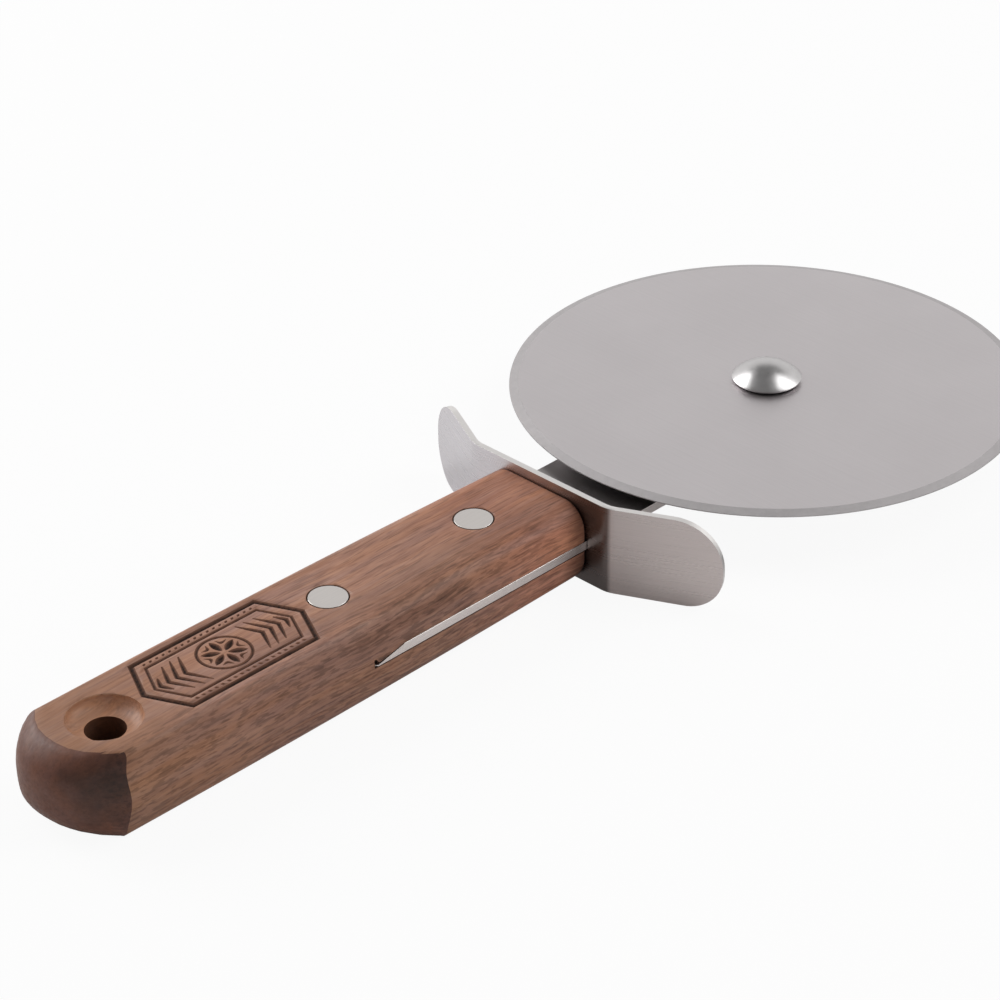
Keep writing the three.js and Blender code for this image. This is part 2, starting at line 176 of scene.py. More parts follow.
def add_piece(name, shell, finishes):
    """Makes a piece of the scene from a bmesh, with its finishes in slot order."""
    mesh = bpy.data.meshes.new(name)
    bmesh.ops.recalc_face_normals(shell, faces=shell.faces)
    shell.to_mesh(mesh)
    shell.free()
    for finish in finishes:
        mesh.materials.append(finish)
    piece = bpy.data.objects.new(name, mesh)
    bpy.context.scene.collection.objects.link(piece)
    return piece


def arc(middle, radius, start, end, steps):
    """Points (x, y) along an arc about a middle, from one angle to another in degrees."""
    angles = [math.radians(start + (end - start) * k / steps) for k in range(steps + 1)]
    return [(middle + radius * math.cos(a), radius * math.sin(a)) for a in angles]


def prism(outline, low, high, across=False):
    """A closed plate from (x, y) points between two heights, or from (x, z) points between two sides."""
    shell = bmesh.new()
    lower = [shell.verts.new((x, low, v) if across else (x, v, low)) for x, v in outline]
    upper = [shell.verts.new((x, high, v) if across else (x, v, high)) for x, v in outline]
    shell.faces.new(lower)
    shell.faces.new(upper)
    for i in range(len(outline)):
        j = (i + 1) % len(outline)
        shell.faces.new((lower[i], lower[j], upper[j], upper[i]))
    return shell


def turned(profile, centre, steps):
    """A piece turned on a lathe about an upright line at centre, from (radius, height) points."""
    shell = bmesh.new()
    rings = []
    angles = [2.0 * math.pi * k / steps for k in range(steps)]
    for radius, height in profile:
        if radius == 0.0:
            rings.append([shell.verts.new((centre[0], centre[1], height))])
            continue
        around = [(radius * math.cos(a), radius * math.sin(a)) for a in angles]
        rings.append([shell.verts.new((centre[0] + x, centre[1] + y, height)) for x, y in around])
    pairs = list(zip(rings, rings[1:]))
    if len(rings[0]) > 1:
        pairs.append((rings[-1], rings[0]))
    for ring, following in pairs:
        for k in range(steps):
            m = (k + 1) % steps
            if len(ring) == 1:
                shell.faces.new((ring[0], following[k], following[m]))
            elif len(following) == 1:
                shell.faces.new((ring[k], following[0], ring[m]))
            else:
                shell.faces.new((ring[k], following[k], following[m], ring[m]))
    return shell


def peg(radius, low, high):
    """The lathe profile of a plain cylinder between two heights."""
    return [(0.0, low), (radius, low), (radius, high), (0.0, high)]


def soften_edges(piece, width, steps=3, sharp=40.0):
    """Rounds off every edge of a piece that turns by more than a sharp angle in degrees."""
    bevel = piece.modifiers.new("soft_edges", "BEVEL")
    bevel.limit_method = "ANGLE"
    bevel.angle_limit = math.radians(sharp)
    bevel.width = width
    bevel.segments = steps
    bevel.use_clamp_overlap = True


def cut_away(piece, cutter):
    """Takes a cutter's shape out of a piece, and the cutter's finish lines the cut."""
    cut = piece.modifiers.new("cut_" + cutter.name, "BOOLEAN")
    cut.operation = "DIFFERENCE"
    cut.solver = "EXACT"
    cut.material_mode = "TRANSFER"
    cut.object = cutter
    cutter.hide_render = True


def settle(piece, crease=35.0):
    """Works a piece's modifiers into its mesh, smooths it up to its creases, drops the cutters."""
    cutters = [m.object for m in piece.modifiers if m.type == "BOOLEAN"]
    view = bpy.context.evaluated_depsgraph_get()
    piece.data = bpy.data.meshes.new_from_object(piece.evaluated_get(view))
    piece.modifiers.clear()
    piece.data.name = piece.name
    piece.data.shade_smooth()
    piece.data.set_sharp_from_angle(angle=math.radians(crease))
    weigh = piece.modifiers.new("flat_faces_first", "WEIGHTED_NORMAL")
    weigh.keep_sharp = True
    for cutter in cutters:
        bpy.data.objects.remove(cutter)


bar_low, bar_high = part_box("carrier_bar")
bar_half = (bar_high.y - bar_low.y) / 2.0
tail_radius = (bar_half ** 2 + BAR_END_SAG ** 2) / (2.0 * BAR_END_SAG)
tail_sweep = math.degrees(math.asin(bar_half / tail_radius))
bar_outline = arc(bar_high.x - bar_half, bar_half, -90.0, 90.0, BAR_NOSE_STEPS)
tail_start = 180.0 - tail_sweep
tail_end = 180.0 + tail_sweep
bar_outline += arc(bar_low.x + tail_radius, tail_radius, tail_start, tail_end, BAR_TAIL_STEPS)

bar_steel = rubbed_steel("tumbled_bar_steel", BAR_STEEL, BAR_ROUGHNESS, BAR_LINES)
# The edges' steel is brightened partly as a painted reflection of the floor.
sanded_and_reflecting_steel = rubbed_steel("sanded_edge_reflecting_steel", SANDED_STEEL_AND_REFLECTION, SANDED_ROUGHNESS, BAR_LINES)
bar_shell = prism(bar_outline, bar_low.z, bar_high.z)
carrier_bar = add_piece("carrier_bar_dressed", bar_shell, [bar_steel, sanded_and_reflecting_steel])
for face in carrier_bar.data.polygons:
    face.material_index = 1 if abs(face.normal.z) < BAR_EDGE_TILT else 0
soften_edges(carrier_bar, BAR_EDGE_ROUND)

lead_end = bar_low.x + BAR_END_SAG
lead_start = lead_end + BAR_LEAD_LENGTH
lead_edge = bar_low.z + BAR_LEAD_EDGE
past_tail = bar_low.x - CUT_PAST
past_top = bar_high.z + CUT_PAST
lead_in = [(lead_start, bar_high.z), (lead_start, past_top), (past_tail, past_top)]
lead_in += [(past_tail, lead_edge), (lead_end, lead_edge)]
for name, inner, outer in (("left", bar_half - BAR_LEAD_WIDTH, bar_half + CUT_PAST),
                           ("right", -bar_half - CUT_PAST, BAR_LEAD_WIDTH - bar_half)):
    file_cut = add_piece("file_" + name, prism(lead_in, inner, outer, across=True), [sanded_and_reflecting_steel])
    cut_away(carrier_bar, file_cut)

axle_low, axle_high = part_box("axle_rivet")
axle_centre = ((axle_low.x + axle_high.x) / 2.0, 0.0)
rivet_places = []
for socket in ("front_rivet_socket", "rear_rivet_socket"):
    low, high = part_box(socket)
    rivet_places.append(((low.x + high.x) / 2.0, 0.0))
bar_drill = peg(BAR_HOLE, bar_low.z - CUT_PAST, bar_high.z + CUT_PAST)
for number, place in enumerate([axle_centre] + rivet_places):
    drill = add_piece("bar_drill_%d" % number, turned(bar_drill, place, BAR_HOLE_STEPS), [bar_steel])
    cut_away(carrier_bar, drill)
settle(carrier_bar)
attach(carrier_bar, "handle")
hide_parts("carrier_bar")

# Finger guard: a strip of satin stainless steel with rounded ends, its wings bent towards the
# wheel in a press. The bar passes through a slot in it, and it sits against the handle's front
# face. Beside the seat, its back face carries painted shade and a painted dark reflection of the
# wood. Its near side carries a painted warm reflection of the wood, which fades towards the far wing.
GUARD_STEEL = (0.709, 0.685, 0.709)
GUARD_ROUGHNESS = 0.29
GUARD_LINES = (30.0, 30.0, 4200.0)
GUARD_SPREAD = 0.035
GUARD_RELIEF = 0.012
# Sheared edges: steel lighter than the faces, partly a painted highlight along the edges.
SHEARED_STEEL_AND_HIGHLIGHT = (0.80, 0.78, 0.765)
SHEARED_ROUGHNESS = 0.36
SHEARED_LINES = (600.0, 600.0, 600.0)
# Painted shade and a painted dark reflection of the wood across the guard's back face by the seat.
GUARD_SHADE_RUN = (-0.0186, 0.012)
GUARD_SHADE_TONES = ((0.035, 1.0), (0.062, 0.36), (0.14, 0.36), (0.28, 0.5), (0.66, 1.0))
GUARD_SHADE_DEPTH = (0.0003, 0.0008)
# A painted warm reflection of the brown wood on the guard's near side, fading towards the far wing.
WARM_REFLECTION_RUN = (-0.002, 0.0125)
WARM_REFLECTION_TINTS = ((0.0, (0.91, 0.84, 0.79)), (1.0, (1.0, 0.99, 0.99)))
GUARD_THICKNESS = 0.0012
GUARD_FLAT_HALF = 0.0153
GUARD_BEND_RADIUS = 0.006
GUARD_WING_LENGTH = 0.020
GUARD_WING_ANGLE = math.radians(26.2)
GUARD_TOP_CORNER = 0.0093
GUARD_FOOT_CORNER = 0.007
GUARD_EDGE_ROUND = 0.0003
GUARD_SLOT_CLEARANCE = 0.00015
GUARD_PUNCH = (-0.002, 0.004)
FLAT_STEPS = 6
BEND_STEPS = 8
WING_STEPS = 6
END_STEPS = 16
GUARD_LEVELS = 8

guard_low, guard_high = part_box("finger_guard")
guard_bend = GUARD_BEND_RADIUS * GUARD_WING_ANGLE
guard_reach = GUARD_FLAT_HALF + guard_bend + GUARD_WING_LENGTH


def guard_place(run, offset):
    """The point (x, y) at a run along the strip from its middle, offset towards the wheel."""
    side = math.copysign(1.0, run)
    run = abs(run)
    mid_x = guard_low.x + GUARD_THICKNESS / 2.0
    turn = min(max(run - GUARD_FLAT_HALF, 0.0) / GUARD_BEND_RADIUS, GUARD_WING_ANGLE)
    y = min(run, GUARD_FLAT_HALF) + GUARD_BEND_RADIUS * math.sin(turn)
    x = mid_x + GUARD_BEND_RADIUS * (1.0 - math.cos(turn))
    past = max(run - GUARD_FLAT_HALF - guard_bend, 0.0)
    y += past * math.cos(turn)
    x += past * math.sin(turn)
    return x + offset * math.cos(turn), side * (y - offset * math.sin(turn))


def corner_drop(run, corner):
    """How far a rounded corner has drawn the strip's edge in at a run from its middle."""
    short = max(abs(run) - (guard_reach - corner), 0.0)
    return corner - math.sqrt(max(corner ** 2 - short ** 2, 0.0))


def guard_runs():
    """The runs from the strip's middle at which it has a column of points, from end to end."""
    flat = [GUARD_FLAT_HALF * k / FLAT_STEPS for k in range(FLAT_STEPS)]
    bend = [GUARD_FLAT_HALF + guard_bend * k / BEND_STEPS for k in range(BEND_STEPS)]
    wing_length = GUARD_WING_LENGTH - GUARD_TOP_CORNER
    wing = [GUARD_FLAT_HALF + guard_bend + wing_length * k / WING_STEPS for k in range(WING_STEPS)]
    swings = [math.radians(90.0 * k / END_STEPS) for k in range(END_STEPS + 1)]
    ends = [guard_reach - GUARD_TOP_CORNER * (1.0 - math.sin(swing)) for swing in swings]
    half = flat + bend + wing + ends
    return [-run for run in reversed(half[1:])] + half


def guard_strip():
    """The bent strip as a closed shell, its rounded ends built from shorter columns."""
    runs = guard_runs()
    shell = bmesh.new()
    faces = []
    for offset in (-GUARD_THICKNESS / 2.0, GUARD_THICKNESS / 2.0):
        columns = []
        for run in runs:
            x, y = guard_place(run, offset)
            low = guard_low.z + corner_drop(run, GUARD_FOOT_CORNER)
            high = guard_high.z - corner_drop(run, GUARD_TOP_CORNER)
            heights = [low + (high - low) * k / GUARD_LEVELS for k in range(GUARD_LEVELS + 1)]
            columns.append([shell.verts.new((x, y, z)) for z in heights])
        faces.append(columns)
        for left, right in zip(columns, columns[1:]):
            for k in range(GUARD_LEVELS):
                shell.faces.new((left[k], right[k], right[k + 1], left[k + 1]))
    back, front = faces
    rim = []
    for k in range(GUARD_LEVELS):
        rim.append((back[0][k], back[0][k + 1], front[0][k + 1], front[0][k]))
        rim.append((back[-1][k], front[-1][k], front[-1][k + 1], back[-1][k + 1]))
    for i in range(len(runs) - 1):
        for k in (0, GUARD_LEVELS):
            rim.append((back[i][k], front[i][k], front[i + 1][k], back[i + 1][k]))
    for corners in rim:
        shell.faces.new(corners).material_index = 1
    return shell


def calc_vector(finish, operation, *inputs):
    """One step of arithmetic on places or colours, which gives another."""
    return add_node(finish, "VectorMath", dict(enumerate(inputs)), operation=operation).outputs[0]


def axes(finish, place):
    """The x, y and z parts of a place."""
    parts = add_node(finish, "SeparateXYZ", {0: place}).outputs
    return parts["X"], parts["Y"], parts["Z"]


def colours(finish, value, stops, easing="LINEAR"):
    """A colour that runs through stops of position and colour while a value goes from 0 to 1."""
    ramp = add_node(finish, "ValToRGB", {"Fac": value})
    ramp.color_ramp.interpolation = easing
    points = ramp.color_ramp.elements
    for stop in stops[1:-1]:
        points.new(stop[0])
    for point, (position, colour) in zip(points, stops):
        point.position = position
        point.color = colour + (1.0,)
    return ramp.outputs["Color"]


def paint_guard_shade(finish):
    """Paints shade and reflections of the wood onto the guard's colour: dark by the seat, warm on the near
    side.
    """
    shader = finish.node_tree.nodes["Principled BSDF"]
    bare = shader.inputs["Base Color"].links[0].from_socket
    along, across = axes(finish, add_node(finish, "TexCoord", {}).outputs["Object"])[:2]
    # Painted shade: the back face darkens across the seat towards the near bend, but the wheel side does
    # not.
    shade_stops = [(position, (tone, tone, tone)) for position, tone in GUARD_SHADE_TONES]
    oil_gloss_and_guard_shade = colours(finish, mapped(finish, across, GUARD_SHADE_RUN), shade_stops)
    wheel_side = mapped(finish, along, [guard_low.x + depth for depth in GUARD_SHADE_DEPTH])
    shade_on_back = calc_vector(finish, "MAXIMUM", oil_gloss_and_guard_shade, wheel_side)
    # Painted reflection: a warm tint on the near side, where the guard mirrors the wood.
    painted_warm_reflection = colours(finish, mapped(finish, across, WARM_REFLECTION_RUN), WARM_REFLECTION_TINTS)
    shaded_colour = calc_vector(finish, "MULTIPLY", calc_vector(finish, "MULTIPLY", bare, shade_on_back), painted_warm_reflection)
    set_inputs(finish, shader, {"Base Color": shaded_colour})


guard_steel = rubbed_steel("satin_guard_steel", GUARD_STEEL, GUARD_ROUGHNESS, GUARD_LINES,
                           GUARD_SPREAD, GUARD_RELIEF)
# The guard's steel is given painted shade and painted reflections of the wood.
paint_guard_shade(guard_steel)
# The edges' steel is lightened partly as a painted highlight.
sheared_and_highlit_steel = rubbed_steel("sheared_edge_highlit_steel", SHEARED_STEEL_AND_HIGHLIGHT, SHEARED_ROUGHNESS, SHEARED_LINES)
finger_guard = add_piece("finger_guard_dressed", guard_strip(), [guard_steel, sheared_and_highlit_steel])
soften_edges(finger_guard, GUARD_EDGE_ROUND)

punch_half = bar_half + GUARD_SLOT_CLEARANCE
punch_outline = [(guard_low.x + x, -punch_half) for x in GUARD_PUNCH]
punch_outline += [(x, -y) for x, y in reversed(punch_outline)]
punch_shape = prism(punch_outline, bar_low.z - GUARD_SLOT_CLEARANCE, bar_high.z + GUARD_SLOT_CLEARANCE)
cut_away(finger_guard, add_piece("guard_punch", punch_shape, [guard_steel]))
settle(finger_guard)
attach(finger_guard, "handle")
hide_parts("finger_guard")

# Handle: one block of walnut, shaped on a spindle moulder and sanded, its corners full at the
# guard and nearly square at the domed butt. It is slotted for the bar, drilled for the rivets,
# bored and dished for hanging, chip carved on top with the cuts burnt brown, and oiled.
FRONT_CORNER = 0.005
REAR_CORNER = 0.0014
CORNER_FADE = 1.7
SIDE_BARREL = 0.0018
BUTT_SAG = 0.0078
BUTT_SAG_POWER = 2.45
BUTT_OFFSET = 0.0011
BUTT_CROWN = 0.0046
BUTT_CROWN_POWER = 3.0
BUTT_CROWN_FADE = 0.55
BUTT_RINGS = (0.9, 0.78, 0.64, 0.5, 0.36, 0.22, 0.1)
HANDLE_STATIONS = 44
CORNER_STEPS = 12
SIDE_STEPS = 8
HANDLE_EDGE_ROUND = 0.0005
FRONT_NEAR_ROUND = 0.0010
FRONT_FAR_ROUND = 0.0005
FRONT_TOP_ROUND = 0.0006
FRONT_STEPS = 5
FRONT_SHADED_STEPS = 2
END_FINISH = 1
SAWN_AND_SHADE_FINISH = 2

SLOT_CLEARANCE = 0.0001
SLOT_END_GAP = 0.0009
SLOT_SWEEP = (118.0, 242.0)
SLOT_STEPS = 32
SLOT_PAST = 0.002
STOP_WIDTH = 0.9 * BAR_LEAD_WIDTH
STOP_PAST = 0.003
STOP_TIP_RISE = 0.0014
STOP_HEEL = (-0.0005, 0.0013)
STOP_TOE = (0.0002, 0.0004)
RIVET_SEAT_RADIUS = 0.00378
RIVET_SEAT_DEPTH = 0.0017
RIVET_SEAT_STEPS = 64
HANG_TO_END = 0.0145
HANG_BORE = 0.0035
HANG_STEPS = 72
BORE_TILT = 0.1
BORE_REACH = 1.02 * HANG_BORE
DISH_RADIUS = 0.00655
DISH_DEPTH = 0.0024
DISH_STEPS = 12
DISH_PAST = 0.0002

CARVE_X = -0.0742
CARVE_SLOPE = 1.15
CARVE_LIFT = 0.00005
CARVE_MITRE = 0.3
BORDER_CORNER = (0.0135, 0.0080)
BORDER_TIP = 0.0173
BORDER_INSET = 0.0022
BORDER_DEPTHS = (0.00046, 0.00028)
TICK_COUNT = 18
TICK_ROW = 0.0233
TICK_INSET = 0.54 * BORDER_INSET
TICK_LEAN = (0.00035, 0.00022)
TICK_PLACES = (-1.0, -0.5, 0.0, 0.5, 1.0)
TICK_DEPTHS = (0.00004, 0.00018, 0.00025, 0.00018, 0.00004)
ROSETTE_RING = 0.0047
ROSETTE_DEPTH = 0.00028
ROSETTE_STEPS = 72
PETAL_COUNT = 6
PETAL_START = 0.0006
PETAL_LENGTH = 0.0034
PETAL_DEPTHS = (0.00003, 0.00058)
PETAL_SWELL = 0.8
PETAL_STEPS = 14
BOW_RADIUS = 0.0039
BOW_SAG = 0.0009
BOW_SWEEP = 30.0
BOW_DEPTHS = (0.00003, 0.00026)
BOW_STEPS = 8
CHEVRONS = ((0.0084, 0.0046), (0.0102, 0.0046), (0.0120, 0.0043), (0.0137, 0.0022))
CHEVRON_DEPTHS = (0.00005, 0.00034)
CHEVRON_STEPS = 6

OILED_TONE = (0.945, 0.925, 0.935)
OILED_ROUGHNESS = 0.46
# Dark end grain; its blue is raised as a painted grey sheen.
END_TONE_AND_SHEEN = (0.315, 0.245, 0.265)
END_ROUGHNESS = 0.44
END_SHEEN = 0.38
# The dish's walnut is lightened as painted light in the bowl.
DISH_LIGHT_TONE = (1.26, 1.22, 1.16)
DISH_ROUGHNESS = 0.44
DISH_SHEEN = 0.45
# Sawn faces: walnut darkened, partly as painted shade in the slot, seats and bore and on the front rounding
# at the guard.
SAWN_AND_SHADE_TONE = (0.30, 0.25, 0.22)
SAWN_ROUGHNESS = 0.66
OIL_SPREAD = (0.08, -0.06)
GRAIN_RELIEF = 0.25
GRAIN_DEPTH = 0.00006
SWAY_SCALE = 26.0
SWAY_MIDDLE = (0.5, 0.5, 0.5)
SWAY_DRIFT = (0.0, 0.005, 0.004)
ACROSS_GRAIN = (0.0, 1.0, 1.0)
PITH_PLACE = (0.0, 0.030, -0.034)
PITH_SLANT = (0.03, 1.0, 1.0)
RING_SCALE = 360.0
FIGURE_SCALE = 110.0
STREAK_LINES = (40.0, 1500.0, 1500.0)
FIBRE_LINES = (300.0, 2600.0, 2600.0)
WARMTH_LINES = (26.0, 420.0, 420.0)
PORE_LINES = (150.0, 2300.0, 2300.0)
FLECK_LINES = (340.0, 1900.0, 1900.0)
GRAIN_WEIGHTS = (0.26, 0.30, 0.24, 0.20)
GRAIN_MIDDLE = 0.5
GRAIN_COLOURS = ((0.32, (0.215, 0.098, 0.066)), (0.5, (0.430, 0.226, 0.156)), (0.68, (0.595, 0.345, 0.242)))
WHITE = (1.0, 1.0, 1.0)
# Tints along the handle, partly painted light that falls off towards the butt.
LENGTHWISE_RUN = (-0.110, 0.0)
LENGTHWISE_TONE_AND_LIGHT = ((0.0, (0.88, 0.87, 0.77)), (0.36, WHITE), (0.72, WHITE),
                   (0.90, (0.90, 0.78, 0.73)), (1.0, (1.0, 0.88, 0.81)))
WARMTH_TINTS = ((0.36, (0.92, 0.95, 1.0)), (0.64, (1.0, 0.94, 0.82)))
CALM_RUN = (-0.105, -0.045)
CALM_LEVELS = (0.58, 1.0)
PORE_RANGE = (0.57, 0.64)
PORE_TONES = (0.88, 0.74)
SIDE_REACH = (0.008, 0.0115)
# Flecks darken the sides, and the same share scales the painted light and shade on the sides.
SIDE_STAIN_AND_LIGHT = 0.8
VEIN_PLACE = (0.0, -0.0105, 0.0140)
VEIN_REACH = (0.001, 0.0060)
VEIN_STAIN = 0.66
FLECK_RANGE = (0.49, 0.57)
FLECK_STAIN = 0.40
CLEAR_RUN = (-0.026, -0.004)
CLEAR_LEVELS = (1.0, 0.6)
# Painted light and shade on the sides along the run: lighter at the rear, darker mid-run, paler towards the
# guard.
SIDE_LIGHT_RUN = (-0.034, -0.006)
SIDE_SHADE_RUN = (-0.095, -0.062)
SIDE_SHADE_LEVELS = (0.14, -0.08)
# The sides turn darker right beside the guard, deepest low down.
DARK_BY_GUARD_RUN = (-0.0055, 0.0004)
DARK_BY_GUARD_RISE = (0.003, 0.009)
DARK_BY_GUARD_LEVELS = (-2.0, -1.2)
BAND_PLACE = -0.0056
BAND_REACH = (0.0012, 0.0042)
BAND_RUN = (-0.085, -0.060)
BAND_TONES = (1.0, 0.83)
# Dark heart in the end grain; beyond it the butt is lightened as painted light on its lower and far parts.
HEART_PLACE = (0.0, -0.0098, 0.0108)
HEART_REACH = (0.0070, 0.0130)
HEART_AND_LIGHT_TONES = (0.44, 1.45)
HEART_SCALE = 150.0
HEART_WANDER = 0.010

SOOT_LINES = (500.0, 2600.0, 2600.0)
SOOT_SHARE = 0.6
# Painted shade: each cut darkens towards its bottom over this depth.
CUT_SHADE_DEPTH = 0.0003
CUT_SHADE_LEVELS = (0.0, 0.5)
CHAR_COLOURS = ((0.24, (0.020, 0.009, 0.006)), (0.80, (0.190, 0.088, 0.056)))
CHAR_ROUGHNESS = (0.62, 0.8)
CHAR_SHEEN = 0.15
CHAR_RELIEF = 0.3
CHAR_GRIT = 0.00008

handle_low, handle_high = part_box("handle_block")
handle_half = (handle_high.y - handle_low.y) / 2.0
handle_mid = (handle_high.z + handle_low.z) / 2.0
handle_rise = (handle_high.z - handle_low.z) / 2.0


def butt_x(y, z):
    """How far back the domed butt reaches, at a place of the cross-section about its middle."""
    across = BUTT_SAG * (abs(y - BUTT_OFFSET) / handle_half) ** BUTT_SAG_POWER
    fade = 1.0 if z > 0.0 else 1.0 - BUTT_CROWN_FADE * (y / handle_half) ** 2
    return handle_low.x + across + BUTT_CROWN * (abs(z) / handle_rise) ** BUTT_CROWN_POWER * fade


def handle_ring(share):
    """The cross-section's (y, z) points about its middle, at a share of the length from the front."""
    corner = REAR_CORNER + (FRONT_CORNER - REAR_CORNER) * (1.0 - share) ** CORNER_FADE
    in_y = handle_half - corner
    in_z = handle_rise - corner
    middles = ((in_y, in_z), (-in_y, in_z), (-in_y, -in_z), (in_y, -in_z))
    points = []
    for quarter in range(4):
        y, z = middles[quarter]
        next_y, next_z = middles[(quarter + 1) % 4]
        for k in range(CORNER_STEPS + 1):
            angle = math.radians(90.0 * (quarter + k / CORNER_STEPS))
            points.append((y + corner * math.cos(angle), z + corner * math.sin(angle)))
        end_y, end_z = points[-1]
        for k in range(1, SIDE_STEPS):
            points.append((end_y + (next_y - y) * k / SIDE_STEPS, end_z + (next_z - z) * k / SIDE_STEPS))
    drawn_in = [SIDE_BARREL * share * (y / handle_half) ** 4 * (z / handle_rise) ** 2 for y, z in points]
    return [(y - math.copysign(inward, y), z) for (y, z), inward in zip(points, drawn_in)]


def handle_blank():
    """The shaped block before anything is cut into it, front face and domed butt closed."""
    shell = bmesh.new()
    rings = []
    for k in range(FRONT_STEPS + 1):
        swing = math.radians(90.0 * k / FRONT_STEPS)
        inset = 1.0 - math.sin(swing)
        ring = []
        for y, z in handle_ring(0.0):
            far = 0.5 + 0.5 * y / handle_half
            rounding = FRONT_NEAR_ROUND + far * (FRONT_FAR_ROUND - FRONT_NEAR_ROUND)
            x = handle_high.x - rounding * (1.0 - math.cos(swing))
            slim_y = 1.0 - rounding * inset / handle_half
            slim_z = 1.0 - FRONT_TOP_ROUND * inset / handle_rise
            ring.append(shell.verts.new((x, slim_y * y, handle_mid + slim_z * z)))
        rings.append(ring)
    for i in range(1, HANDLE_STATIONS + 1):
        share = i / HANDLE_STATIONS
        ring = []
        for y, z in handle_ring(share):
            x = handle_high.x + share * (butt_x(y, z) - handle_high.x)
            ring.append(shell.verts.new((x, y, handle_mid + z)))
        rings.append(ring)
    body_rings = len(rings)
    for shrink in BUTT_RINGS:
        inner = [(BUTT_OFFSET + shrink * (y - BUTT_OFFSET), shrink * z) for y, z in handle_ring(1.0)]
        rings.append([shell.verts.new((butt_x(y, z), y, handle_mid + z)) for y, z in inner])
    for i in range(len(rings) - 1):
        ring = rings[i]
        following = rings[i + 1]
        for k in range(len(ring)):
            m = (k + 1) % len(ring)
            face = shell.faces.new((ring[k], ring[m], following[m], following[k]))
            # The front face and first bands of its rounding take the darkened sawn walnut, as painted shade
            # where the handle meets the guard.
            if i < FRONT_SHADED_STEPS:
                face.material_index = SAWN_AND_SHADE_FINISH
            elif i + 1 >= body_rings:
                face.material_index = END_FINISH
    shell.faces.new(rings[0]).material_index = SAWN_AND_SHADE_FINISH
    tip = shell.verts.new((handle_low.x, BUTT_OFFSET, handle_mid))
    last = rings[-1]
    for k in range(len(last)):
        shell.faces.new((last[k], last[(k + 1) % len(last)], tip)).material_index = END_FINISH
    return shell


def chip(shell, path, depths, closed=False):
    """One V-shaped knife cut into the top face, along a path of (x, y), with a depth at each point."""
    sections = []
    count = len(path)
    for i, (x, y) in enumerate(path):
        before = Vector(path[i - 1]) if closed or i > 0 else None
        after = Vector(path[(i + 1) % count]) if closed or i < count - 1 else None
        here = Vector((x, y))
        arrive = (here - before).normalized() if before else (after - here).normalized()
        leave = (after - here).normalized() if after else arrive
        along = (arrive + leave).normalized()
        across = Vector((-along.y, along.x)) / max(along.dot(arrive), CARVE_MITRE)
        wide = CARVE_SLOPE * (depths[i] + CARVE_LIFT)
        left = here + across * wide
        right = here - across * wide
        top = handle_high.z + CARVE_LIFT
        corners = ((left.x, left.y, top), (right.x, right.y, top), (x, y, handle_high.z - depths[i]))
        sections.append([shell.verts.new(c) for c in corners])
    pairs = list(zip(sections, sections[1:]))
    if closed:
        pairs.append((sections[-1], sections[0]))
    for one, two in pairs:
        for k in range(3):
            m = (k + 1) % 3
            shell.faces.new((one[k], one[m], two[m], two[k]))
    if not closed:
        shell.faces.new(sections[0])
        shell.faces.new(sections[-1])


def swelling(depths, steps, power=1.0):
    """Depths along a cut that swells from a shallow end to a deep middle and back."""
    shallow, deep = depths
    return [shallow + deep * math.sin(math.pi * k / steps) ** power for k in range(steps + 1)]


def carved_panel():
    """The carver's cuts: a long six-sided border, a six-petal rosette and nested chevrons beside it."""
    shell = bmesh.new()
    lean = (BORDER_TIP - BORDER_CORNER[0]) / BORDER_CORNER[1]
    stretch = math.sqrt(1.0 + lean ** 2)

    def spot(radius, turn):
        return CARVE_X + radius * math.cos(math.radians(turn)), radius * math.sin(math.radians(turn))

    def border(inset):
        half = BORDER_CORNER[1] - inset
        tip = BORDER_TIP - inset * stretch
        corner = tip - half * lean
        ends = [(tip, 0.0), (corner, half), (-corner, half), (-tip, 0.0), (-corner, -half), (corner, -half)]
        return [(CARVE_X + x, y) for x, y in ends]

    for inset, depth in zip((0.0, BORDER_INSET), BORDER_DEPTHS):
        chip(shell, border(inset), [depth] * 6, closed=True)
    tick_y = BORDER_CORNER[1] - TICK_INSET
    for k in range(TICK_COUNT):
        x = CARVE_X + TICK_ROW * (k / (TICK_COUNT - 1) - 0.5)
        for way in (-1.0, 1.0):
            path = [(x + TICK_LEAN[0] * m, way * (tick_y + TICK_LEAN[1] * m)) for m in TICK_PLACES]
            chip(shell, path, TICK_DEPTHS)
    ring = [spot(ROSETTE_RING, 360.0 * k / ROSETTE_STEPS) for k in range(ROSETTE_STEPS)]
    chip(shell, ring, [ROSETTE_DEPTH] * ROSETTE_STEPS, closed=True)
    for k in range(PETAL_COUNT):
        turn = 360.0 / PETAL_COUNT * k
        reaches = [PETAL_START + PETAL_LENGTH * m / PETAL_STEPS for m in range(PETAL_STEPS + 1)]
        petal = [spot(reach, turn + 180.0 / PETAL_COUNT) for reach in reaches]
        chip(shell, petal, swelling(PETAL_DEPTHS, PETAL_STEPS, PETAL_SWELL))
        bow = []
        for m in range(BOW_STEPS + 1):
            sag = BOW_SAG * math.sin(math.pi * m / BOW_STEPS)
            bow.append(spot(BOW_RADIUS - sag, turn - BOW_SWEEP / 2.0 + BOW_SWEEP * m / BOW_STEPS))
        chip(shell, bow, swelling(BOW_DEPTHS, BOW_STEPS))
    shares = [1 - m / CHEVRON_STEPS for m in range(CHEVRON_STEPS)]
    chevron_depths = swelling(CHEVRON_DEPTHS, 2 * CHEVRON_STEPS + 2)[1:-1]
    for way in (-1.0, 1.0):
        for reach, half in CHEVRONS:
            arm = [(CARVE_X + way * (reach - lean * half * share), half * share) for share in shares]
            path = arm + [(CARVE_X + way * reach, 0.0)] + [(x, -y) for x, y in reversed(arm)]
            chip(shell, path, chevron_depths)
    return shell


